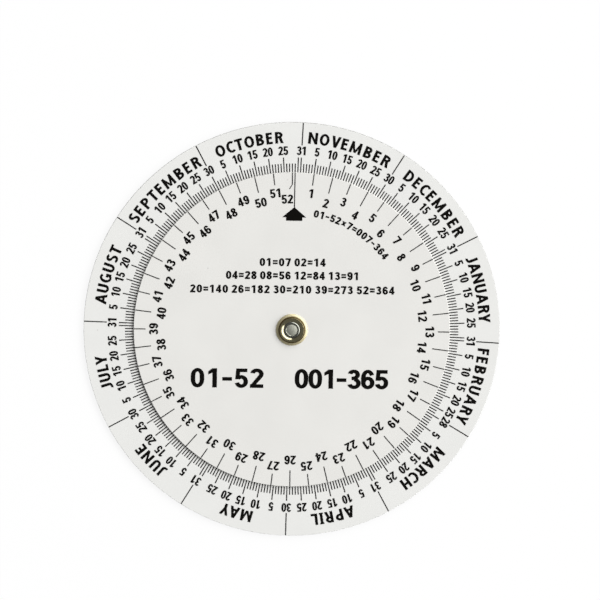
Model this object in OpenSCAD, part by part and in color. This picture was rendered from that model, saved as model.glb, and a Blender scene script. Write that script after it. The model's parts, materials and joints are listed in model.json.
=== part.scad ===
// Date wheel: two printed plastic dials that turn on a clinched rivet.
// Millimetres. It lies face up: Z = 0 is the flat underside of the rivet's head, the rivet's axis is Z,
// and the arrow of the week dial points along +Y. Angles of the scales run clockwise from the arrow.

/* [Dials] */
// Diameter of the base dial
base_d = 107.95; // [80:0.05:160]
// Width of the base dial's printed band, which the week dial leaves open all round
band_w = 12.955; // [10.5:0.005:20]
// Thickness of the base dial
base_t = 0.6; // [0.4:0.05:1.5]
// Thickness of the week dial
week_t = 0.5; // [0.4:0.05:1.5]
// Radius on the cut edges of both dials
cut_edge_r = 0.1; // [0.02:0.01:0.18]

/* [Rivet] */
// Diameter of the shank that the dials turn on
shank_d = 4.2; // [3:0.05:6]
// Wall of the shank round its hollow
tube_wall = 0.5; // [0.35:0.01:0.6]
// Thickness of metal left under the floor of the hollow
floor_t = 1.5; // [0.3:0.05:2]
// Diameter of the flat head behind the base dial
head_d = 8; // [6:0.1:14]
// Thickness of the head
head_t = 0.6; // [0.3:0.05:1.2]
// Radius on the head's rim
head_edge_r = 0.25; // [0.05:0.01:0.29]
// Radial width of the mouth's inner flare, from the hollow to the crest
flare_w = 1.45; // [0.95:0.01:1.6]
// Radial width of the mouth's outer curl, from the crest outwards
curl_w = 0.36; // [0.35:0.01:0.6]
// Height of the rolled mouth, from the washer to the crest
roll_h = 0.7; // [0.65:0.01:0.9]
// Thickness of the metal that is rolled over
lip_t = 0.3; // [0.15:0.01:0.3]

/* [Clinch washer] */
// Radial width of the sloping rim, outside the rolled mouth
washer_rim_w = 0.68; // [0.3:0.01:2]
// Thickness of the washer where the rivet is rolled on it
washer_t = 0.4; // [0.3:0.05:0.8]
// Thickness of the washer at its rim
washer_rim_t = 0.15; // [0.05:0.01:0.25]

/* [Fits] */
// Radial running clearance between the shank and the week dial
spin_clear = 0.05; // [0.02:0.01:0.1]
// Radial clearance between the shank and the base dial
base_clear = 0.02; // [0.01:0.01:0.1]
// Radial clearance between the shank and the washer
washer_clear = 0.05; // [0.02:0.01:0.1]
// Gap between the ink on the base dial and the week dial
dial_gap = 0.07; // [0.05:0.01:0.3]
// Gap between the week dial and the washer
washer_gap = 0.05; // [0.03:0.01:0.2]

/* [Ink] */
// Height of the ink on both dials
ink_t = 0.05; // [0.03:0.01:0.1]
// Width of a day line
day_w = 0.265; // [0.1:0.005:0.35]
// Width of a line between two months
divider_w = 0.27; // [0.1:0.01:0.6]
// Width of a week line, and of the arrow's line
week_w = 0.24; // [0.1:0.005:0.5]

/* [Day scale] */
// Length of the day lines that the edge of the week dial covers
day_cover = 0.6; // [0.2:0.1:2]
// Length of a plain day line past the edge of the week dial
day_short = 2.23; // [1:0.01:3]
// Length of the line of every fifth day and of a month's last day
day_long = 3.83; // [2:0.01:6]
// Length of a line between two months, from the rim inwards
divider_l = 5.85; // [2:0.05:8]
// Days from the arrow to the last day of October
days_to_month_end = 2; // [0:1:30]

/* [Week scale] */
// Length of the line of an odd week
week_short = 3.07; // [1:0.01:5]
// Length of the line of an even week
week_long = 4.27; // [2:0.01:6]
// Straight length of the last week's line, before it bends
leader_straight = 3.1; // [1:0.1:5]
// Length along the arrow's line of the bent end
leader_drop = 1.25; // [0.5:0.05:2]
// Sideways reach of the bent end
leader_reach = 0.75; // [0.3:0.05:2]

/* [Arrow] */
// Length of the arrow's line from the dial's edge to the arrow's point
arrow_line = 9.05; // [5:0.05:14]
// Width of the arrow's head
arrow_head_w = 6.2; // [4.5:0.02:8]
// Length of the arrow's head
arrow_head_l = 2.65; // [1:0.05:4]
// Width of the arrow's foot
arrow_foot_w = 4.2; // [2:0.05:4.4]
// Length of the arrow's foot
arrow_foot_l = 0.9; // [0.3:0.05:3]

/* [Hidden] */
$fn = 96;

// Days in the months, from November round to October, and their last days counted from 31 October
MONTH_DAYS = [30, 31, 31, 28, 31, 30, 31, 30, 31, 31, 30, 31];
MONTH_STARTS = [for (m = 0, n = 0; m < len(MONTH_DAYS); n = n + MONTH_DAYS[m], m = m + 1) n];
YEAR_DAYS = MONTH_STARTS[len(MONTH_DAYS) - 1] + MONTH_DAYS[len(MONTH_DAYS) - 1];
DAY_ANGLE = 360 / YEAR_DAYS;
WEEK_DAYS = 7;
YEAR_WEEKS = floor(YEAR_DAYS / WEEK_DAYS);
LONG_EVERY = 5;

// Heights of the stack, from the underside of the rivet's head upwards
base_z = head_t;
base_top = base_z + base_t;
week_z = base_top + ink_t + dial_gap;
week_top = week_z + week_t;
washer_z = week_top + washer_gap;
washer_top = washer_z + washer_t;

// The rolled mouth: the arcs of its inner flare and its outer curl meet at the crest
hollow_r = shank_d / 2 - tube_wall;
crest_r = hollow_r + flare_w;
roll_r = crest_r + curl_w;
crest_z = washer_top + roll_h;
flare_z = crest_z - flare_w;
curl_z = crest_z - curl_w;

// Radii of the printed lines, which stop where the cut starts to round a dial's edge off
base_r = base_d / 2;
week_r = base_r - band_w;
base_ink_r = base_r - cut_edge_r;
week_ink_r = week_r - cut_edge_r;
arrow_tip_r = week_r - arrow_line;

// A die-cut disc with a hole: the cut rounds its upper edge, and its back stays sharp
module cut_disc(r, t, hole_r) {
    rotate_extrude() {
        translate([hole_r, 0]) square([r - hole_r, t - cut_edge_r]);
        translate([hole_r, 0]) square([r - hole_r - cut_edge_r, t]);
        translate([r - cut_edge_r, t - cut_edge_r]) circle(cut_edge_r);
    }
}

// A printed line that runs outwards from r_in to r_out, so many degrees clockwise from the arrow
module radial_line(angle, r_in, r_out, w) {
    rotate(-angle) translate([-w / 2, r_in, 0]) cube([w, r_out - r_in, ink_t]);
}

// A ring of the section's plane, between two radii about a point
module section_ring(r, z, r_in, r_out) {
    translate([r, z]) difference() {
        circle(r_out);
        circle(r_in);
    }
}

module base_dial() {
    color("#e9e9e6") translate([0, 0, base_z])
        cut_disc(base_r, base_t, shank_d / 2 + base_clear);
}

module week_dial() {
    color("#e6e5e1") translate([0, 0, week_z])
        cut_disc(week_r, week_t, shank_d / 2 + spin_clear);
}

// The solid of the rivet's section, before its hollow is taken out
module rivet_section() {
    square([head_d / 2 - head_edge_r, head_t]);
    translate([0, head_edge_r]) square([head_d / 2, head_t - head_edge_r]);
    translate([head_d / 2 - head_edge_r, head_edge_r]) circle(head_edge_r);
    square([shank_d / 2, washer_top]);
    // Inner half of the rolled mouth, from the shank up to the crest
    intersection() {
        translate([0, washer_top]) square([crest_r, roll_h]);
        section_ring(crest_r, flare_z, flare_w - lip_t, flare_w);
    }
    // Outer half, from the crest over the curl and straight down to the washer
    intersection() {
        translate([crest_r, curl_z]) square(curl_w);
        section_ring(crest_r, curl_z, curl_w - lip_t, curl_w);
    }
    translate([roll_r - lip_t, washer_top]) square([lip_t, roll_h - curl_w]);
}

// The hollow of the rivet: a blind hole that flares into the rolled mouth
module hollow_section() {
    flare_from = max(flare_z, floor_t);
    translate([0, floor_t]) square([hollow_r, crest_z - floor_t]);
    difference() {
        translate([0, flare_from]) square([crest_r, crest_z - flare_from]);
        translate([crest_r, flare_z]) circle(flare_w);
    }
}

module rivet() {
    color("#a89a5c") rotate_extrude() difference() {
        rivet_section();
        hollow_section();
    }
}

// The washer is flat under the rolled mouth and slopes down to its rim in an arc
module clinch_washer() {
    bore_r = shank_d / 2 + washer_clear;
    slope_h = washer_t - washer_rim_t;
    slope_r = (washer_rim_w * washer_rim_w + slope_h * slope_h) / (2 * slope_h);
    color("#8f8a66") translate([0, 0, washer_z]) rotate_extrude() {
        translate([bore_r, 0]) square([roll_r - bore_r, washer_t]);
        translate([roll_r, 0]) square([washer_rim_w, washer_rim_t]);
        intersection() {
            translate([roll_r, 0]) square([washer_rim_w, washer_t]);
            translate([roll_r, washer_t - slope_r]) circle(slope_r);
        }
    }
}

// Day n of a month has a long line if it is the month's last or a fifth day
module day_graduations() {
    color("#16130f") translate([0, 0, base_top])
        for (m = [0 : len(MONTH_DAYS) - 1], d = [1 : MONTH_DAYS[m]]) {
            is_long = d % LONG_EVERY == 0 || d == MONTH_DAYS[m];
            angle = (days_to_month_end + MONTH_STARTS[m] + d) * DAY_ANGLE;
            radial_line(angle, week_r - day_cover, week_r + (is_long ? day_long : day_short), day_w);
        }
}

module month_dividers() {
    color("#16130f") translate([0, 0, base_top])
        for (start = MONTH_STARTS)
            radial_line((days_to_month_end + start) * DAY_ANGLE, base_ink_r - divider_l, base_ink_r, divider_w);
}

// The last week ends one day short of the arrow, so its line bends away from the arrow's line
module last_week_leader() {
    bend_r = week_r - leader_straight;
    rotate(DAY_ANGLE) linear_extrude(ink_t) polygon([
        [-week_w / 2, week_ink_r],
        [-week_w / 2, bend_r],
        [-week_w / 2 - leader_reach, bend_r - leader_drop],
        [week_w / 2 - leader_reach, bend_r - leader_drop],
        [week_w / 2, bend_r],
        [week_w / 2, week_ink_r]
    ]);
}

module week_graduations() {
    color("#16130f") translate([0, 0, week_top]) {
        for (w = [1 : YEAR_WEEKS - 1]) {
            line_l = w % 2 == 0 ? week_long : week_short;
            radial_line(w * WEEK_DAYS * DAY_ANGLE, week_r - line_l, week_ink_r, week_w);
        }
        last_week_leader();
    }
}

// One outline: the line to the dial's edge, the head that it runs into, and the foot below the head
module pointer_arrow() {
    neck_r = arrow_tip_r - arrow_head_l;
    foot_r = neck_r - arrow_foot_l;
    join_r = arrow_tip_r - arrow_head_l * week_w / arrow_head_w;
    half = [
        [week_w / 2, week_ink_r],
        [week_w / 2, join_r],
        [arrow_head_w / 2, neck_r],
        [arrow_foot_w / 2, neck_r],
        [arrow_foot_w / 2, foot_r]
    ];
    other_half = [for (i = [len(half) - 1 : -1 : 0]) [-half[i].x, half[i].y]];
    color("#16130f") translate([0, 0, week_top]) linear_extrude(ink_t) polygon(concat(half, other_half));
}

base_dial();
week_dial();
rivet();
clinch_washer();
day_graduations();
month_dividers();
week_graduations();
pointer_arrow();
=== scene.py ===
import json
import math

import bmesh
import bpy
from mathutils import Matrix, Vector
from mathutils.geometry import delaunay_2d_cdt

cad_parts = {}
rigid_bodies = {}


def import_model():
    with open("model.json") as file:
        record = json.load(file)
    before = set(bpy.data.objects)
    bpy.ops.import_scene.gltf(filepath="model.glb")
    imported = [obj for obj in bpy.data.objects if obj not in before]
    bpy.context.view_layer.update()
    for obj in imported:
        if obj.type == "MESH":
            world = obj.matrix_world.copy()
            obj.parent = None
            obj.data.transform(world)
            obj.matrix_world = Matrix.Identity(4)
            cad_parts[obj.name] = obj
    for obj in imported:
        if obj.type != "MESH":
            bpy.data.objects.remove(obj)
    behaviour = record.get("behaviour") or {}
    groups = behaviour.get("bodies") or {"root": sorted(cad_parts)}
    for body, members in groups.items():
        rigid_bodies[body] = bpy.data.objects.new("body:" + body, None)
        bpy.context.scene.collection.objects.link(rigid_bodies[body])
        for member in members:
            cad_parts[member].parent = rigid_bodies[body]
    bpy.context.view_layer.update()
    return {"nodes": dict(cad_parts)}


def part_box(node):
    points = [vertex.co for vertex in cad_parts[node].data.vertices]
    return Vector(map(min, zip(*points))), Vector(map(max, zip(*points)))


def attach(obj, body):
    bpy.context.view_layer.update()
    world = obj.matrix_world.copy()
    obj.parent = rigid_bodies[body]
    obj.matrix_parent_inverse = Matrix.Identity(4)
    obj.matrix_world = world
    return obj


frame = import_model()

MM = 0.001

# Camera: a long lens, nearly overhead, that leans back a little over the top of the dial
VIEW_FROM = Vector((-0.0232, 0.1102, 0.9936))
VIEW_DISTANCE = 2162 * MM
VIEW_ROLL = math.radians(1.24)
VIEW_AIM_RIGHT = 2.13 * MM
VIEW_AIM_UP = 7.65 * MM
LENS_MM = 500
SENSOR_MM = 36

# Studio, in metres and degrees: a long softbox at the right, a dim room that is bright low down, a pale floor
LAMP_TURN = 63
LAMP_RISE = 42
LAMP_DISTANCE = 6.0
LAMP_WIDTH = 15.0
LAMP_HEIGHT = 4.0
LAMP_SHARE = 0.8
ROOM_LEVEL = 0.17
HORIZON_LEVEL = 0.82
HORIZON_RISE = 0.35
FLOOR_RADIUS = 20.0
FLOOR_DIFFUSE = 0.1

# Rivet: the radii of its throat and of its rolled mouth
THROAT_R = 2.1 * MM
ROLL_R = 3.41 * MM

# Closed end in its mouth, a low dome in a round lip: radii, heights, bends, and slopes in degrees
END_Z = 2.7 * MM
LIP_OUTER_R = 1.71 * MM
LIP_INNER_R = 1.58 * MM
LIP_BACK_BEND = 0.6 * MM
LIP_BACK_SLOPE = 38
LIP_FRONT_BEND = 0.1 * MM
LIP_FRONT_SLOPE = 75
GROOVE_BEND = 0.06 * MM
DOME_SLOPE = 11
END_FOOT = [(1.85 * MM, 2.1 * MM), (1.65 * MM, 1.45 * MM)]
END_STEPS = 96

# Zones of finish and of painted shade round the rivet's axis: the radius where each begins to show, and the
# one where it is full
THROAT_STEEL_SHADE_ZONE = (THROAT_R + 0.3 * MM, THROAT_R)
RIVET_CREASE_SHADE_ZONE = (ROLL_R - 0.42 * MM, ROLL_R - 0.16 * MM)
WASHER_CREASE_SHADE_ZONE = (ROLL_R + 0.12 * MM, ROLL_R - 0.02 * MM)
LIP_ZONE = (LIP_INNER_R - 0.15 * MM, LIP_INNER_R - 0.05 * MM)

# Dust in the vinyl: cells that may each hold a speck, the radius of one, the share of cells that do hold one,
# and how strongly its grey shows
DUST_CELL = 7 * MM
DUST_R = 0.17 * MM
DUST_SHARE = 0.3
DUST_STRENGTH = 0.35

# Sizes of the other patterns. Grain, dimples, rings and scratches are drawn coarser than they are, to show
VINYL_CLOUD = 11 * MM
ROLLER_GRAIN = 0.18 * MM
SCREEN_DIMPLE = 0.35 * MM
RIVET_STAIN = 1.3 * MM
RING_PITCH = 0.1571 * MM
WASHER_STAIN = 1.1 * MM
WASHER_SCRATCH = 0.12 * MM
STEEL_STAIN = 0.8 * MM

# Values between which most of a noise lies
NOISE_LOW = 0.3
NOISE_HIGH = 0.7

# How near two points count as one, in metres and in cap heights, and how small a turn counts as none
ONE_POINT = 0.001 * MM
ONE_CORNER = 1e-5
NO_TURN = math.radians(1)

# Calendar, with its angles in degrees clockwise from the arrow. A month has its name, its days, the angle
# that its name fills and how far the middle of its name lies past the middle of the month
MONTHS = [
    ("NOVEMBER", 30, 25.4, -0.3), ("DECEMBER", 31, 24.6, 0.4), ("JANUARY", 31, 20.3, -0.7),
    ("FEBRUARY", 28, 23.5, -0.1), ("MARCH", 31, 15.8, 0.1), ("APRIL", 30, 13.1, 0.7),
    ("MAY", 31, 9.7, -0.25), ("JUNE", 30, 11.0, -0.25), ("JULY", 31, 10.2, 0.0),
    ("AUGUST", 31, 17.9, -0.95), ("SEPTEMBER", 30, 27.2, 0.2), ("OCTOBER", 31, 20.6, -0.7),
]
DAY_ANGLE = 360 / sum(month[1] for month in MONTHS)
WEEK_ANGLE = 7 * DAY_ANGLE
WEEKS = 52

# Days from the arrow to the start of the first month of the list
DAYS_TO_FIRST_MONTH = 2

# Days with a number, besides each month's last. One that is at most so many days before it moves back
NUMBERED_DAYS = [5, 10, 15, 20, 25]
CROWDED_DAYS = 3

# Print, in millimetres: the ink's thickness, cap heights, and the radii or heights of the baselines
INK_T = 0.05
DAY_CAP = 2.25
DAY_BASE_R = 45.5
MONTH_CAP = 3.0
MONTH_BASE_R = 48.6
WEEK_CAP = 2.3
ODD_WEEK_BASE_R = 34.69
EVEN_WEEK_BASE_R = 32.93
LEGEND_CAP = 1.9
LEGEND_BASE_R = 29.9
RANGE_CAP = 5.0
RANGE_BASE_Y = -15.27
TABLE_CAP = 2.05

# Print, in degrees: the last week's number, how far a crowded number moves back, how straight lines lean
LAST_WEEK_TURN = -3.2
CROWDED_SHIFT = 0.62
LINES_LEAN = 0.45

# Ranges of the two scales, each with the x of its middle and its length in millimetres
RANGES = [("01-52", -16.6, 18.9), ("001-365", 13.1, 24.3)]

# Table of weeks and their days, each line with the y of its middle and its length in millimetres
TABLE = [
    ("01=07 02=14", 17.6, 17.1),
    ("04=28 08=56 12=84 13=91", 14.15, 34.5),
    ("20=140 26=182 30=210 39=273 52=364", 10.5, 53.0),
]

# Legend by the arrow, with the angle of its middle and the angle that it fills
LEGEND = ("01-52x7=007-364", 30.5, 42)


def linear(hex_colour):
    """An sRGB hex colour as the linear RGBA that the shaders take."""
    channels = [int(hex_colour[i:i + 2], 16) / 255 for i in (1, 3, 5)]
    return [c / 12.92 if c <= 0.04045 else ((c + 0.055) / 1.055) ** 2.4 for c in channels] + [1]


def add_node(tree, kind, inputs=(), **settings):
    """Adds a node. Settings are its properties; inputs are values, or outputs to link, by name or number."""
    node = tree.nodes.new(kind)
    for name, value in settings.items():
        setattr(node, name, value)
    for key, value in dict(inputs).items():
        if isinstance(value, bpy.types.NodeSocket):
            tree.links.new(value, node.inputs[key])
        else:
            node.inputs[key].default_value = value
    return node


def link_object(name, data):
    made = bpy.data.objects.new(name, data)
    bpy.context.scene.collection.objects.link(made)
    return made


def make_camera():
    data = bpy.data.cameras.new("camera")
    data.lens = LENS_MM
    data.sensor_width = SENSOR_MM
    data.clip_start = 10 * MM
    camera = link_object("camera", data)
    away = VIEW_FROM.normalized()
    level = Vector((0, 1, 0)).cross(away).normalized()
    up = math.cos(VIEW_ROLL) * away.cross(level) - math.sin(VIEW_ROLL) * level
    across = up.cross(away)
    dial_centre = Vector((0, 0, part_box("base_dial")[1].z))
    aim = dial_centre + across * VIEW_AIM_RIGHT + up * VIEW_AIM_UP
    camera.location = aim + away * VIEW_DISTANCE
    camera.rotation_euler = Matrix((across, up, away)).transposed().to_euler()
    bpy.context.scene.camera = camera


def softbox_view(towards, across, steps=12):
    """How much light a softbox of radiance 1 lands on the dial: the sum over small squares of it."""
    tall = towards.cross(across)
    square = LAMP_WIDTH * LAMP_HEIGHT / steps ** 2
    view = 0
    for i in range(steps):
        for j in range(steps):
            spot = LAMP_DISTANCE * towards
            spot = spot + across * LAMP_WIDTH * ((i + 0.5) / steps - 0.5)
            spot = spot + tall * LAMP_HEIGHT * ((j + 0.5) / steps - 0.5)
            way = spot.normalized()
            view += square * way.z * way.dot(towards) / spot.length_squared
    return view


def make_studio():
    """The softbox gives its share of a plain level of 1 on the dials, and the room gives the rest."""
    turn, rise = math.radians(LAMP_TURN), math.radians(LAMP_RISE)
    towards = Vector((math.sin(turn) * math.cos(rise), math.cos(turn) * math.cos(rise), math.sin(rise)))
    across = Vector((0, 0, 1)).cross(towards).normalized()
    lamp = bpy.data.lights.new("softbox", "AREA")
    lamp.shape = "RECTANGLE"
    lamp.size = LAMP_WIDTH
    lamp.size_y = LAMP_HEIGHT
    radiance = math.pi * LAMP_SHARE / softbox_view(towards, across)
    lamp.energy = radiance * math.pi * LAMP_WIDTH * LAMP_HEIGHT
    softbox = link_object("softbox", lamp)
    softbox.location = towards * LAMP_DISTANCE
    softbox.rotation_euler = Matrix((across, towards.cross(across), towards)).transposed().to_euler()
    softbox.visible_camera = False

    # The room fades from the horizon's level to its own within the sine of the horizon's rise
    world = bpy.data.worlds.new("room")
    world.use_nodes = True
    tree = world.node_tree
    direction = add_node(tree, "ShaderNodeTexCoord").outputs["Generated"]
    height = add_node(tree, "ShaderNodeSeparateXYZ", {0: direction}).outputs["Z"]
    level = add_node(tree, "ShaderNodeMapRange", {
        "Value": height, "From Max": HORIZON_RISE, "To Min": HORIZON_LEVEL, "To Max": ROOM_LEVEL})
    tree.links.new(level.outputs[0], tree.nodes["Background"].inputs["Strength"])
    tree.nodes["Background"].inputs["Color"].default_value = (1, 1, 1, 1)
    bpy.context.scene.world = world


def make_floor():
    mesh = bpy.data.meshes.new("floor")
    r = FLOOR_RADIUS
    mesh.from_pydata([(-r, -r, 0), (r, -r, 0), (r, r, 0), (-r, r, 0)], [], [(0, 1, 2, 3)])
    floor = link_object("floor", mesh)
    floor.data.materials.append(paper_sweep())


def paper_sweep():
    """Background paper: takes the shadow, and is topped up to white for the camera and in reflections."""
    material, tree = new_material("background_paper")
    paths = add_node(tree, "ShaderNodeLightPath")
    seen = add_node(tree, "ShaderNodeMath", {
        0: paths.outputs["Is Camera Ray"], 1: paths.outputs["Is Glossy Ray"]}, operation="MAXIMUM")
    seen = add_node(tree, "ShaderNodeMath", {
        0: seen.outputs[0], 1: paths.outputs["Is Transmission Ray"]}, operation="MAXIMUM")
    top_up = add_node(tree, "ShaderNodeMath", {
        0: seen.outputs[0], 1: 1 - FLOOR_DIFFUSE}, operation="MULTIPLY")
    glow = add_node(tree, "ShaderNodeEmission", {"Color": (1, 1, 1, 1), "Strength": top_up.outputs[0]})
    grey = (FLOOR_DIFFUSE, FLOOR_DIFFUSE, FLOOR_DIFFUSE, 1)
    paper = add_node(tree, "ShaderNodeBsdfDiffuse", {"Color": grey})
    both = add_node(tree, "ShaderNodeAddShader", {0: glow.outputs[0], 1: paper.outputs[0]})
    return close_material(material, both)


def new_material(name):
    material = bpy.data.materials.new(name)
    material.use_nodes = True
    material.node_tree.nodes.clear()
    return material, material.node_tree


def close_material(material, shader):
    add_node(material.node_tree, "ShaderNodeOutputMaterial", {"Surface": shader.outputs[0]})
    return material


def calendered_vinyl(name, face_colour, painted_edge_shade):
    """White rigid vinyl, rolled matt between steel rollers and die-cut: an even, faintly cloudy white with
    a fine tight grain, a few grey specks of dust in it, and painted shade that greys the cut edge against the
    face."""
    material, tree = new_material(name)
    place = add_node(tree, "ShaderNodeTexCoord").outputs["Object"]
    clouds = add_node(tree, "ShaderNodeTexNoise", {"Vector": place, "Scale": 1 / VINYL_CLOUD, "Detail": 2})
    cloudy = add_node(tree, "ShaderNodeMapRange", {
        "Value": clouds.outputs["Fac"], "From Min": NOISE_LOW, "From Max": NOISE_HIGH,
        "To Min": 0.975, "To Max": 1.0})
    tint = add_node(tree, "ShaderNodeVectorMath", {
        0: linear(face_colour)[:3], "Scale": cloudy.outputs[0]}, operation="SCALE")

    # A speck lies round the point of its cell
    cells = add_node(tree, "ShaderNodeTexVoronoi", {"Vector": place, "Scale": 1 / DUST_CELL})
    near = add_node(tree, "ShaderNodeMath", {
        0: cells.outputs["Distance"], 1: DUST_R / DUST_CELL}, operation="LESS_THAN")
    pick = add_node(tree, "ShaderNodeSeparateColor", {"Color": cells.outputs["Color"]})
    rare = add_node(tree, "ShaderNodeMath", {
        0: pick.outputs["Red"], 1: 1 - DUST_SHARE}, operation="GREATER_THAN")
    speck = add_node(tree, "ShaderNodeMath", {0: near.outputs[0], 1: rare.outputs[0]}, operation="MULTIPLY")
    speck = add_node(tree, "ShaderNodeMath", {0: speck.outputs[0], 1: DUST_STRENGTH}, operation="MULTIPLY")
    dusty = add_node(tree, "ShaderNodeMix", {
        0: speck.outputs[0], 6: tint.outputs[0], 7: linear("#a4a29c")}, data_type="RGBA")

    # Painted shade: the wall of the cut, where the surface turns away from the face, takes the darker edge
    # colour
    upright = add_node(tree, "ShaderNodeNewGeometry").outputs["Normal"]
    upright = add_node(tree, "ShaderNodeSeparateXYZ", {0: upright}).outputs["Z"]
    upright = add_node(tree, "ShaderNodeMath", {0: upright}, operation="ABSOLUTE").outputs[0]
    face = add_node(tree, "ShaderNodeMapRange", {"Value": upright, "From Min": 0.25, "From Max": 0.95})
    colour = add_node(tree, "ShaderNodeMix", {
        0: face.outputs[0], 6: linear(painted_edge_shade), 7: dusty.outputs[2]}, data_type="RGBA")

    # Grain of the rollers, which is under 0.1 mm on the real sheet
    grain = add_node(tree, "ShaderNodeTexNoise", {"Vector": place, "Scale": 1 / ROLLER_GRAIN, "Detail": 3})
    bump = add_node(tree, "ShaderNodeBump", {
        "Height": grain.outputs["Fac"], "Strength": 0.35, "Distance": 0.012 * MM})
    rough = add_node(tree, "ShaderNodeMapRange", {
        "Value": clouds.outputs["Fac"], "From Min": NOISE_LOW, "From Max": NOISE_HIGH,
        "To Min": 0.42, "To Max": 0.5})
    shader = add_node(tree, "ShaderNodeBsdfPrincipled", {
        "Base Color": colour.outputs[2], "Roughness": rough.outputs[0], "IOR": 1.53,
        "Normal": bump.outputs[0]})
    return close_material(material, shader)


def screen_ink():
    """Black screen ink for vinyl: dense and slightly brown, dried satin, with the dimples of the mesh."""
    material, tree = new_material("black_screen_ink")
    place = add_node(tree, "ShaderNodeTexCoord").outputs["Object"]
    coat = add_node(tree, "ShaderNodeTexNoise", {"Vector": place, "Scale": 1 / SCREEN_DIMPLE, "Detail": 2})
    colour = add_node(tree, "ShaderNodeMix", {
        0: coat.outputs["Fac"], 6: linear("#050403"), 7: linear("#0e0c09")}, data_type="RGBA")
    bump = add_node(tree, "ShaderNodeBump", {
        "Height": coat.outputs["Fac"], "Strength": 0.3, "Distance": 0.01 * MM})
    shader = add_node(tree, "ShaderNodeBsdfPrincipled", {
        "Base Color": colour.outputs[2], "Roughness": 0.5, "IOR": 1.5, "Specular IOR Level": 0.08,
        "Normal": bump.outputs[0]})
    return close_material(material, shader)


def in_zone(tree, place, zone):
    """How far a point is into a zone round the rivet's axis, from 0 where it begins to 1 where it is full."""
    flat = add_node(tree, "ShaderNodeVectorMath", {0: place, 1: (1, 1, 0)}, operation="MULTIPLY")
    radius = add_node(tree, "ShaderNodeVectorMath", {0: flat.outputs[0]}, operation="LENGTH")
    begins, full = zone
    depth = add_node(tree, "ShaderNodeMapRange", {
        "Value": radius.outputs["Value"], "From Min": begins, "From Max": full})
    return depth.outputs[0]


def plated_rivet():
    """Steel rivet, thinly brass-plated and rolled over by a spinning tool: very pale brass with fine rings
    round the axis, steel grey with painted shade in the throat, and dull with painted brown shade in the
    crease under the curl."""
    material, tree = new_material("brass_plated_steel")
    place = add_node(tree, "ShaderNodeTexCoord").outputs["Object"]
    stain = add_node(tree, "ShaderNodeTexNoise", {"Vector": place, "Scale": 1 / RIVET_STAIN, "Detail": 3})
    brass = add_node(tree, "ShaderNodeMix", {
        0: stain.outputs["Fac"], 6: linear("#aba482"), 7: linear("#c8c09b")}, data_type="RGBA")
    # Steel grey in the throat where the plating thins, darkened further as painted shade of the throat
    colour = add_node(tree, "ShaderNodeMix", {
        0: in_zone(tree, place, THROAT_STEEL_SHADE_ZONE), 6: brass.outputs[2], 7: linear("#6c6d63")}, data_type="RGBA")
    # Painted shade: the crease under the curl is darkened to brown, and made rougher
    crease_shade = in_zone(tree, place, RIVET_CREASE_SHADE_ZONE)
    colour = add_node(tree, "ShaderNodeMix", {
        0: crease_shade, 6: colour.outputs[2], 7: linear("#584826")}, data_type="RGBA")
    rough = add_node(tree, "ShaderNodeMapRange", {"Value": crease_shade, "To Min": 0.18, "To Max": 0.55})

    # At a scale of 1, rings of this node lie pi / 10 apart
    rings = add_node(tree, "ShaderNodeTexWave", {
        "Vector": place, "Scale": math.pi / 10 / RING_PITCH, "Distortion": 1.0, "Detail": 2},
        wave_type="RINGS", rings_direction="Z")
    bump = add_node(tree, "ShaderNodeBump", {
        "Height": rings.outputs["Fac"], "Strength": 0.2, "Distance": 0.01 * MM})
    around = add_node(tree, "ShaderNodeTangent", direction_type="RADIAL", axis="Z")
    shader = add_node(tree, "ShaderNodeBsdfPrincipled", {
        "Base Color": colour.outputs[2], "Metallic": 1, "Roughness": rough.outputs[0], "Anisotropic": 0.6,
        "Anisotropic Rotation": 0.25, "Tangent": around.outputs[0], "Normal": bump.outputs[0]})
    return close_material(material, shader)


def stamped_brass():
    """Washer blanked and domed from thin brass sheet: a little yellower than the rivet, clouded by handling,
    and with painted brown shade where it meets the rolled mouth."""
    material, tree = new_material("stamped_brass")
    place = add_node(tree, "ShaderNodeTexCoord").outputs["Object"]
    stain = add_node(tree, "ShaderNodeTexNoise", {"Vector": place, "Scale": 1 / WASHER_STAIN, "Detail": 4})
    colour = add_node(tree, "ShaderNodeMix", {
        0: stain.outputs["Fac"], 6: linear("#d0c59f"), 7: linear("#e2d9b4")}, data_type="RGBA")
    # Painted shade: brown where the washer meets the rolled mouth
    crease_shade = in_zone(tree, place, WASHER_CREASE_SHADE_ZONE)
    colour = add_node(tree, "ShaderNodeMix", {
        0: crease_shade, 6: colour.outputs[2], 7: linear("#62512d")}, data_type="RGBA")
    rough = add_node(tree, "ShaderNodeMapRange", {
        "Value": stain.outputs["Fac"], "To Min": 0.6, "To Max": 0.48})
    scratches = add_node(tree, "ShaderNodeTexNoise", {
        "Vector": place, "Scale": 1 / WASHER_SCRATCH, "Detail": 2})
    bump = add_node(tree, "ShaderNodeBump", {
        "Height": scratches.outputs["Fac"], "Strength": 0.15, "Distance": 0.01 * MM})
    shader = add_node(tree, "ShaderNodeBsdfPrincipled", {
        "Base Color": colour.outputs[2], "Metallic": 1, "Roughness": rough.outputs[0],
        "Normal": bump.outputs[0]})
    return close_material(material, shader)


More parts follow.
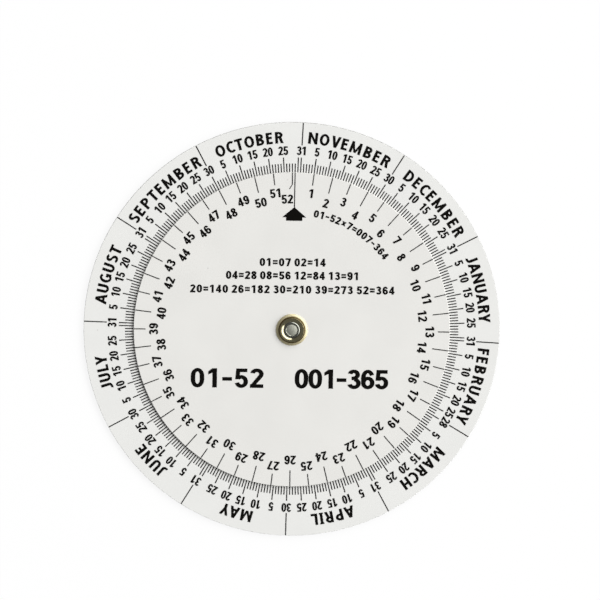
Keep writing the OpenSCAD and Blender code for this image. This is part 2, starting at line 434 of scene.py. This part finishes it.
def punched_steel():
    """Closed end of the rivet, where the punch has struck through the plating: a pale warm grey dome, clouded
    and dull, in a darker and smoother lip."""
    material, tree = new_material("punched_steel")
    place = add_node(tree, "ShaderNodeTexCoord").outputs["Object"]
    stain = add_node(tree, "ShaderNodeTexNoise", {"Vector": place, "Scale": 1 / STEEL_STAIN, "Detail": 3})
    dome = add_node(tree, "ShaderNodeMix", {
        0: stain.outputs["Fac"], 6: linear("#adaea0"), 7: linear("#d0d2c5")}, data_type="RGBA")
    lip = in_zone(tree, place, LIP_ZONE)
    colour = add_node(tree, "ShaderNodeMix", {
        0: lip, 6: dome.outputs[2], 7: linear("#96978d")}, data_type="RGBA")
    rough = add_node(tree, "ShaderNodeMapRange", {"Value": lip, "To Min": 0.5, "To Max": 0.22})
    shader = add_node(tree, "ShaderNodeBsdfPrincipled", {
        "Base Color": colour.outputs[2], "Metallic": 1, "Roughness": rough.outputs[0]})
    return close_material(material, shader)


def bend(start, radius, slope, end_slope, steps=8):
    """Points of an arc from its start, between two slopes in degrees. A hollow has a radius above 0."""
    first = math.radians(slope)
    centre_r = start[0] - radius * math.sin(first)
    centre_z = start[1] + radius * math.cos(first)
    slopes = [math.radians(slope + (end_slope - slope) * i / steps) for i in range(steps + 1)]
    return [(centre_r + radius * math.sin(a), centre_z - radius * math.cos(a)) for a in slopes]


def make_closed_end(material):
    """Turned from half a section: from the axis over dome, groove and lip to a foot inside the flare."""
    back = bend((LIP_OUTER_R, END_Z), -LIP_BACK_BEND, 0, -LIP_BACK_SLOPE)
    front = bend((LIP_INNER_R, END_Z), -LIP_FRONT_BEND, 0, LIP_FRONT_SLOPE)
    groove = bend(front[-1], GROOVE_BEND, LIP_FRONT_SLOPE, -DOME_SLOPE)
    dome_bend = groove[-1][0] / math.sin(math.radians(DOME_SLOPE))
    dome = bend(groove[-1], -dome_bend, -DOME_SLOPE, 0)
    inwards = front + groove[1:] + dome[1:-1] + [(0, dome[-1][1])]
    section = inwards[::-1] + back + END_FOOT + [(0, END_FOOT[-1][1])]
    bm = bmesh.new()
    corners = [bm.verts.new((r, 0, z)) for r, z in section]
    sides = [bm.edges.new(pair) for pair in zip(corners, corners[1:])]
    bmesh.ops.spin(
        bm, geom=corners + sides, cent=(0, 0, 0), axis=(0, 0, 1), angle=2 * math.pi, steps=END_STEPS)
    bmesh.ops.remove_doubles(bm, verts=bm.verts, dist=ONE_POINT)
    bmesh.ops.recalc_face_normals(bm, faces=bm.faces)
    mesh = bpy.data.meshes.new("rivet_closed_end")
    bm.to_mesh(mesh)
    bm.free()
    mesh.shade_smooth()
    piece = link_object("rivet_closed_end", mesh)
    piece.data.materials.append(material)
    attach(piece, "base")


class Pen:
    """Draws one character of flat strokes, with its baseline at 0 and its cap height at 1. The functions that
    follow draw one each, with heights as shares of the cap height, and most places as shares of its width."""

    # Degrees between the points of a bow, how far round characters pass the cap height and the baseline, and
    # where the middle beam of a capital lies
    BOW_STEP = 18
    OVERSHOOT = 0.012
    WAIST = 0.44

    def __init__(self, width, stem, beam):
        self.w = width
        self.t = stem
        self.h = beam
        self.strokes = []

    def shape(self, *points):
        area = sum(a[0] * b[1] - b[0] * a[1] for a, b in zip(points, points[1:] + points[:1]))
        self.strokes.append(list(points) if area > 0 else list(reversed(points)))

    def bar(self, x0, y0, x1, y1):
        self.shape((x0, y0), (x1, y0), (x1, y1), (x0, y1))

    def stem(self, x, y0=0, y1=1):
        self.bar(x, y0, x + self.t, y1)

    def beam(self, y, x0, x1):
        self.bar(x0, y, x1, y + self.h)

    def slant(self, x0, y0, x1, y1, t):
        """A stroke from its foot at x0 up to x1, t wide along the baseline."""
        self.shape((x0, y0), (x0 + t, y0), (x1 + t, y1), (x1, y1))

    def bow(self, x, y, rx, ry, start, stop):
        """Part of an oval ring, as thick as a stem at its sides and as a beam at its top and foot."""
        steps = max(1, round((stop - start) / self.BOW_STEP))
        angles = [math.radians(start + (stop - start) * i / steps) for i in range(steps + 1)]
        outer = [(x + rx * math.cos(a), y + ry * math.sin(a)) for a in angles]
        inner = [(x + (rx - self.t) * math.cos(a), y + (ry - self.h) * math.sin(a)) for a in angles]
        for i in range(steps):
            self.shape(outer[i], outer[i + 1], inner[i + 1], inner[i])

    def turn_over(self):
        """Turns what is drawn by half a turn about the middle of the character."""
        self.strokes = [[(self.w - x, 1 - y) for x, y in stroke] for stroke in self.strokes]


def draw_0(p):
    ry = 0.42
    top = 1 + p.OVERSHOOT - ry
    foot = 1 - top
    p.bow(p.w / 2, top, p.w / 2, ry, 0, 180)
    p.bow(p.w / 2, foot, p.w / 2, ry, 180, 360)
    p.stem(0, foot, top)
    p.stem(p.w - p.t, foot, top)


def draw_1(p):
    x = p.w * 0.79 - p.t
    flag = x - p.w * 0.31
    p.stem(x)
    p.shape((x, 1), (flag, 0.84), (flag, 0.67), (x, 0.77))


def draw_2(p):
    ry = 0.29
    top = 1 + p.OVERSHOOT - ry
    neck = -28
    end = math.radians(neck)
    p.bow(p.w / 2, top, p.w / 2, ry, neck, 168)
    outer = (p.w / 2 * (1 + math.cos(end)), top + ry * math.sin(end))
    inner = (p.w / 2 + (p.w / 2 - p.t) * math.cos(end), top + (ry - p.h) * math.sin(end))
    p.shape(inner, outer, (p.t * 1.35, p.h), (0, p.h * 0.6))
    p.beam(0, 0, p.w * 0.98)


def draw_3(p):
    upper, lower = 0.27, 0.3
    p.bow(p.w * 0.48, 1 - upper + p.OVERSHOOT, p.w * 0.46, upper, -90, 165)
    p.bow(p.w * 0.5, lower - p.OVERSHOOT, p.w * 0.5, lower, -165, 90)
    p.beam(0.46, p.w * 0.32, p.w * 0.5)


def draw_4(p):
    x = p.w * 0.85 - p.t
    shelf = 0.19
    p.stem(x)
    p.beam(shelf, 0, p.w)
    p.slant(0, shelf + p.h, x + p.t * 0.25, 1, p.t * 0.75)


def draw_5(p):
    neck = p.w * 0.12
    bowl = 0.335
    p.beam(1 - p.h, neck, p.w * 0.94)
    p.slant(p.w * 0.05, 0.44, neck, 1, p.t * 0.92)
    p.bow(p.w / 2, bowl - p.OVERSHOOT, p.w / 2, bowl, -165, 138)


def draw_6(p):
    ry = 0.42
    top = 1 + p.OVERSHOOT - ry
    bowl = 0.33
    p.bow(p.w / 2, top, p.w / 2, ry, 22, 180)
    p.stem(0, bowl, top)
    p.bow(p.w / 2, bowl - p.OVERSHOOT, p.w / 2, bowl, 0, 360)


def draw_7(p):
    knee = p.w * 0.44
    p.beam(1 - p.h, 0, p.w)
    p.slant(p.w * 0.2, 0, knee, 0.5, p.t)
    p.slant(knee, 0.5, p.w - p.t, 1 - p.h * 0.6, p.t)


def draw_8(p):
    upper, lower = 0.26, 0.29
    p.bow(p.w / 2, 1 - upper + p.OVERSHOOT, p.w * 0.46, upper, 0, 360)
    p.bow(p.w / 2, lower - p.OVERSHOOT, p.w * 0.5, lower, 0, 360)


def draw_9(p):
    draw_6(p)
    p.turn_over()


def draw_a(p):
    apex = (p.w - p.t) / 2
    p.slant(0, 0, apex, 1, p.t)
    p.slant(p.w - p.t, 0, apex, 1, p.t)
    p.beam(0.2, p.w * 0.2, p.w * 0.8)


def draw_b(p):
    middle = p.w * 0.45
    p.stem(0)
    for y, ry, reach in ((0.735, 0.265, 0.95), (0.28, 0.28, 1)):
        p.beam(y - ry, 0, middle)
        p.beam(y + ry - p.h, 0, middle)
        p.bow(middle, y, p.w * reach - middle, ry, -90, 90)


def draw_c(p):
    rx = p.w * 0.61
    p.bow(rx, 0.5, rx, 0.5 + p.OVERSHOOT, 50, 310)


def draw_d(p):
    middle = p.w * 0.36
    p.stem(0)
    p.beam(0, 0, middle)
    p.beam(1 - p.h, 0, middle)
    p.bow(middle, 0.5, p.w - middle, 0.5, -90, 90)


def draw_e(p):
    draw_f(p)
    p.beam(0, 0, p.w)


def draw_f(p):
    p.stem(0)
    p.beam(1 - p.h, 0, p.w)
    p.beam(p.WAIST, 0, p.w * 0.92)


def draw_g(p):
    rx = p.w * 0.53
    shelf = 0.52
    p.bow(rx, 0.5, rx, 0.5 + p.OVERSHOOT, 50, 308)
    p.stem(p.w - p.t, 0.07, shelf)
    p.beam(shelf - p.h, p.w * 0.6, p.w)


def draw_h(p):
    p.stem(0)
    p.stem(p.w - p.t)
    p.beam(p.WAIST, 0, p.w)


def draw_i(p):
    serif = p.h * 0.6
    p.stem((p.w - p.t) / 2)
    p.bar(0, 0, p.w, serif)
    p.bar(0, 1 - serif, p.w, 1)


def draw_j(p):
    rx, ry = p.w * 0.75, 0.29
    p.stem(p.w - p.t, 0.28)
    p.bow(p.w - rx, ry - p.OVERSHOOT, rx, ry, 250, 360)


def draw_l(p):
    p.stem(0)
    p.beam(0, 0, p.w)


def draw_m(p):
    splay = p.w * 0.05
    thin = p.t * 0.8
    valley = (p.w - thin) / 2
    for foot, top, shoulder in ((0, splay, splay), (p.w - p.t, p.w - p.t - splay, p.w - thin - splay)):
        p.slant(foot, 0, top, 1, p.t)
        p.slant(valley, 0.06, shoulder, 1, thin)


def draw_n(p):
    thin = p.t * 0.9
    p.stem(0)
    p.stem(p.w - p.t)
    p.slant(p.w - thin, 0, 0, 1, thin)


def draw_o(p):
    p.bow(p.w / 2, 0.5, p.w / 2, 0.5 + p.OVERSHOOT, 0, 360)


def draw_p(p):
    middle = p.w * 0.42
    ry = 0.3
    p.stem(0)
    p.beam(1 - 2 * ry, 0, middle)
    p.beam(1 - p.h, 0, middle)
    p.bow(middle, 1 - ry, p.w - middle, ry, -90, 90)


def draw_r(p):
    middle = p.w * 0.4
    ry = 0.28
    leg = p.t * 1.05
    p.stem(0)
    p.beam(p.WAIST, 0, middle)
    p.beam(1 - p.h, 0, middle)
    p.bow(middle, 1 - ry, p.w * 0.93 - middle, ry, -90, 90)
    p.slant(p.w - leg, 0, middle, 0.52, leg)


def draw_s(p):
    upper, lower = 0.28, 0.3
    p.bow(p.w * 0.5, 1 - upper + p.OVERSHOOT, p.w * 0.47, upper, 35, 270)
    p.bow(p.w * 0.5, lower - p.OVERSHOOT, p.w * 0.5, lower, -145, 90)


def draw_t(p):
    p.beam(1 - p.h, 0, p.w)
    p.stem((p.w - p.t) / 2)


def draw_u(p):
    bowl = 0.35
    foot = 0.34
    p.stem(0, foot)
    p.stem(p.w - p.t, foot)
    p.bow(p.w / 2, bowl - p.OVERSHOOT, p.w / 2, bowl, 180, 360)


def draw_v(p):
    foot = (p.w - p.t) / 2
    p.slant(foot, 0, 0, 1, p.t)
    p.slant(foot, 0, p.w - p.t, 1, p.t)


def draw_y(p):
    fork = (p.w - p.t) / 2
    fork_y = 0.36
    p.stem(fork, 0, 0.42)
    p.slant(fork, fork_y, 0, 1, p.t)
    p.slant(fork, fork_y, p.w - p.t, 1, p.t)


def draw_dash(p):
    p.beam(0.36, 0, p.w)


def draw_equals(p):
    p.beam(0.24, 0, p.w)
    p.beam(0.55, 0, p.w)


def draw_times(p):
    foot, top = 0.16, 0.74
    p.slant(0, foot, p.w - p.t, top, p.t)
    p.slant(p.w - p.t, foot, 0, top, p.t)


DRAWN = {
    "0": draw_0, "1": draw_1, "2": draw_2, "3": draw_3, "4": draw_4,
    "5": draw_5, "6": draw_6, "7": draw_7, "8": draw_8, "9": draw_9,
    "A": draw_a, "B": draw_b, "C": draw_c, "D": draw_d, "E": draw_e, "F": draw_f,
    "G": draw_g, "H": draw_h, "I": draw_i, "J": draw_j, "L": draw_l, "M": draw_m,
    "N": draw_n, "O": draw_o, "P": draw_p, "R": draw_r, "S": draw_s, "T": draw_t,
    "U": draw_u, "V": draw_v, "Y": draw_y, "-": draw_dash, "=": draw_equals, "x": draw_times,
}

# Capitals of the months: their width, and the room at their left and right, in cap heights
CAPITALS = {
    "A": (0.87, 0.03, 0.04), "B": (0.67, 0.11, 0.12), "C": (0.71, 0.08, 0.02), "D": (0.76, 0.11, 0.1),
    "E": (0.54, 0.08, 0.12), "F": (0.53, 0.11, 0.08), "G": (0.79, 0.07, 0.08), "H": (0.73, 0.12, 0.12),
    "I": (0.36, 0.08, 0.08), "J": (0.5, 0.04, 0.08), "L": (0.55, 0.08, 0.03), "M": (1.02, 0.08, 0.13),
    "N": (0.8, 0.09, 0.09), "O": (0.84, 0.06, 0.08), "P": (0.66, 0.12, 0.08), "R": (0.71, 0.12, 0.03),
    "S": (0.67, 0.07, 0.04), "T": (0.7, 0.05, 0.06), "U": (0.71, 0.08, 0.09), "V": (0.79, 0.06, 0.01),
    "Y": (0.77, 0, 0),
}


class Face:
    """A face of type, in cap heights: the weight of its strokes, the width of its characters and the room
    beside them, for the plain ones and for others that have their own."""

    # How much closer two ones stand than their rooms would have it
    ONES_CLOSER = 0.07

    def __init__(self, stem, beam, width, room, others=()):
        self.stem = stem
        self.beam = beam
        self.plain = (width, room, room)
        self.others = dict(others)

    def width_of(self, character):
        return self.others.get(character, self.plain)[0]

    def room_between(self, left, right):
        room = self.others.get(left, self.plain)[2] + self.others.get(right, self.plain)[1]
        return room - self.ONES_CLOSER if left == right == "1" else room

    def strokes_of(self, character):
        """Its strokes, centred on x = 0."""
        pen = Pen(self.width_of(character), self.stem, self.beam)
        DRAWN[character](pen)
        return [[(x - pen.w / 2, y) for x, y in stroke] for stroke in pen.strokes]


SIGNS = {"-": (0.5, 0.08, 0.08), "=": (0.6, 0.08, 0.08), "x": (0.66, 0.1, 0.1), " ": (0.3, 0, 0)}
DAY_FACE = Face(0.22, 0.165, 0.555, 0.015)
WEEK_FACE = Face(0.235, 0.18, 0.62, 0.035)
MONTH_FACE = Face(0.235, 0.195, 0.6, 0.1, CAPITALS)
RANGE_FACE = Face(0.235, 0.185, 0.7, 0.05, SIGNS)
TABLE_FACE = Face(0.265, 0.21, 0.68, 0.06, SIGNS)


def make_character(name, strokes, thickness):
    """One closed solid: the strokes are cut at their crossings, merged and raised to the ink's thickness."""
    points, outlines = [], []
    for stroke in strokes:
        outlines.append(list(range(len(points), len(points) + len(stroke))))
        points += [Vector(point) for point in stroke]
    triangles_inside = 1
    corners, _, faces, _, _, covers = delaunay_2d_cdt(points, [], outlines, triangles_inside, ONE_CORNER)
    bm = bmesh.new()
    made = [bm.verts.new((corner.x, corner.y, 0)) for corner in corners]
    for face, strokes_here in zip(faces, covers):
        if strokes_here:
            bm.faces.new([made[i] for i in face])
    bmesh.ops.delete(bm, geom=[v for v in bm.verts if not v.link_faces], context="VERTS")
    bmesh.ops.dissolve_limit(bm, angle_limit=NO_TURN, verts=bm.verts, edges=bm.edges)
    grown = bmesh.ops.extrude_face_region(bm, geom=bm.faces[:], use_keep_orig=True)["geom"]
    raised = [part for part in grown if isinstance(part, bmesh.types.BMVert)]
    bmesh.ops.translate(bm, vec=(0, 0, thickness), verts=raised)
    bmesh.ops.recalc_face_normals(bm, faces=bm.faces)
    mesh = bpy.data.meshes.new(name)
    bm.to_mesh(mesh)
    bm.free()
    return bpy.data.objects.new(name, mesh)


def printing_tree():
    """Sets one character of the fount on each point, turned and sized, and inks it."""
    tree = bpy.data.node_groups.new("print_characters", "GeometryNodeTree")
    for name, way, kind in (
        ("Places", "INPUT", "Geometry"), ("Fount", "INPUT", "Collection"), ("Cap height", "INPUT", "Float"),
        ("Ink", "INPUT", "Material"), ("Print", "OUTPUT", "Geometry"),
    ):
        tree.interface.new_socket(name, in_out=way, socket_type="NodeSocket" + kind)
    given = add_node(tree, "NodeGroupInput").outputs
    fount = add_node(tree, "GeometryNodeCollectionInfo", {
        "Collection": given["Fount"], "Separate Children": True, "Reset Children": True})
    number = add_node(tree, "GeometryNodeInputNamedAttribute", {"Name": "character"}, data_type="INT")
    turn = add_node(tree, "GeometryNodeInputNamedAttribute", {"Name": "turn"}, data_type="FLOAT")
    upright = add_node(tree, "ShaderNodeCombineXYZ", {"Z": turn.outputs[0]})
    size = add_node(tree, "ShaderNodeCombineXYZ", {
        "X": given["Cap height"], "Y": given["Cap height"], "Z": 1.0})
    placed = add_node(tree, "GeometryNodeInstanceOnPoints", {
        "Points": given["Places"], "Instance": fount.outputs[0], "Pick Instance": True,
        "Instance Index": number.outputs[0], "Rotation": upright.outputs[0], "Scale": size.outputs[0]})
    real = add_node(tree, "GeometryNodeRealizeInstances", {0: placed.outputs[0]})
    inked = add_node(tree, "GeometryNodeSetMaterial", {
        "Geometry": real.outputs[0], "Material": given["Ink"]})
    add_node(tree, "NodeGroupOutput", {0: inked.outputs[0]})
    return tree


def print_on(name, body, face, cap, places, z, ink, tree):
    """Prints on a body at height z. Each place is a character, its x and y, and its turn in radians."""
    used = sorted({place[0] for place in places})
    fount = bpy.data.collections.new(name + "_fount")
    for i, character in enumerate(used):
        fount.objects.link(make_character(f"{name}_{i:02}", face.strokes_of(character), INK_T * MM))

    mesh = bpy.data.meshes.new(name + "_places")
    mesh.from_pydata([(x * MM, y * MM, z) for _, x, y, _ in places], [], [])
    numbers = mesh.attributes.new("character", "INT", "POINT")
    numbers.data.foreach_set("value", [used.index(place[0]) for place in places])
    turns = mesh.attributes.new("turn", "FLOAT", "POINT")
    turns.data.foreach_set("value", [place[3] for place in places])
    points = link_object(name + "_places", mesh)
    modifier = points.modifiers.new("print", "NODES")
    modifier.node_group = tree
    values = {"Fount": fount, "Cap height": cap * MM, "Ink": ink}
    for item in tree.interface.items_tree:
        if item.in_out == "INPUT" and item.name in values:
            modifier[item.identifier] = values[item.name]

    depsgraph = bpy.context.evaluated_depsgraph_get()
    printed = bpy.data.meshes.new_from_object(points.evaluated_get(depsgraph))
    points.modifiers.remove(modifier)
    bpy.data.objects.remove(points)
    for character in list(fount.objects):
        bpy.data.objects.remove(character)
    bpy.data.collections.remove(fount)
    printed.name = name
    piece = link_object(name, printed)
    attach(piece, body)


def spread(text, face, cap, length=None):
    """Where each character's middle is, from the middle of its line. The line may be spread to a length."""
    rooms = [face.room_between(left, right) for left, right in zip(text, text[1:])]
    width = sum(face.width_of(character) for character in text) + sum(rooms)
    extra = (length / cap - width) / len(rooms) if length else 0
    along = -(width + extra * len(rooms)) / 2
    middles = []
    for character, room in zip(text, rooms + [0]):
        if character != " ":
            middles.append((character, cap * (along + face.width_of(character) / 2)))
        along += face.width_of(character) + room + extra
    return middles


def on_arc(text, face, cap, base_r, angle, fills=None):
    """Places of a text with its tops outwards, its middle so many degrees clockwise from the arrow."""
    middle_r = base_r + cap / 2
    length = math.radians(fills) * middle_r if fills else None
    places = []
    for character, along in spread(text, face, cap, length):
        a = math.radians(angle) + along / middle_r
        places.append((character, base_r * math.sin(a), base_r * math.cos(a), -a))
    return places


def on_line(text, face, cap, x, y, length):
    """Places of a straight text with its middle at x and its baseline at y, leaning as the lines do."""
    lean = math.radians(LINES_LEAN)
    places = []
    for character, along in spread(text, face, cap, length):
        across = x + along
        leaning_x = across * math.cos(lean) - y * math.sin(lean)
        leaning_y = across * math.sin(lean) + y * math.cos(lean)
        places.append((character, leaning_x, leaning_y, lean))
    return places


def print_base_dial(ink, tree):
    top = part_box("base_dial")[1].z
    names, days_of_months = [], []
    start = DAYS_TO_FIRST_MONTH
    for name, days, fills, shift in MONTHS:
        middle = (start + days / 2) * DAY_ANGLE + shift
        names += on_arc(name, MONTH_FACE, MONTH_CAP, MONTH_BASE_R, middle, fills)
        for day in NUMBERED_DAYS + [days]:
            crowded = 0 < days - day <= CROWDED_DAYS
            angle = (start + day) * DAY_ANGLE - (CROWDED_SHIFT if crowded else 0)
            days_of_months += on_arc(str(day), DAY_FACE, DAY_CAP, DAY_BASE_R, angle)
        start += days
    print_on("month_names", "base", MONTH_FACE, MONTH_CAP, names, top, ink, tree)
    print_on("day_numbers", "base", DAY_FACE, DAY_CAP, days_of_months, top, ink, tree)


def print_week_dial(ink, tree):
    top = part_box("week_dial")[1].z
    weeks = []
    for week in range(1, WEEKS + 1):
        base_r = EVEN_WEEK_BASE_R if week % 2 == 0 else ODD_WEEK_BASE_R
        angle = week * WEEK_ANGLE if week < WEEKS else LAST_WEEK_TURN
        weeks += on_arc(str(week), WEEK_FACE, WEEK_CAP, base_r, angle)
    print_on("week_numbers", "dial", WEEK_FACE, WEEK_CAP, weeks, top, ink, tree)

    ranges = []
    for text, x, length in RANGES:
        ranges += on_line(text, RANGE_FACE, RANGE_CAP, x, RANGE_BASE_Y, length)
    print_on("range_numbers", "dial", RANGE_FACE, RANGE_CAP, ranges, top, ink, tree)

    lines = []
    for text, y, length in TABLE:
        lines += on_line(text, TABLE_FACE, TABLE_CAP, 0, y - TABLE_CAP / 2, length)
    print_on("week_day_table", "dial", TABLE_FACE, TABLE_CAP, lines, top, ink, tree)

    text, angle, fills = LEGEND
    legend = on_arc(text, TABLE_FACE, LEGEND_CAP, LEGEND_BASE_R, angle, fills)
    print_on("legend_numbers", "dial", TABLE_FACE, LEGEND_CAP, legend, top, ink, tree)


def dress(node, material):
    frame["nodes"][node].material_slots[0].material = material


bpy.context.scene.view_settings.view_transform = "Standard"
make_camera()
make_studio()
make_floor()

black_ink = screen_ink()
# Each vinyl's second colour is painted shade on its cut edge
dress("base_dial", calendered_vinyl("white_vinyl_base", "#efefec", "#9f9e99"))
dress("week_dial", calendered_vinyl("white_vinyl_week", "#ecebe7", "#e6e5e1"))
dress("rivet", plated_rivet())
dress("clinch_washer", stamped_brass())
for printed_node in ("day_graduations", "month_dividers", "week_graduations", "pointer_arrow"):
    dress(printed_node, black_ink)

make_closed_end(punched_steel())

characters = printing_tree()
print_base_dial(black_ink, characters)
print_week_dial(black_ink, characters)
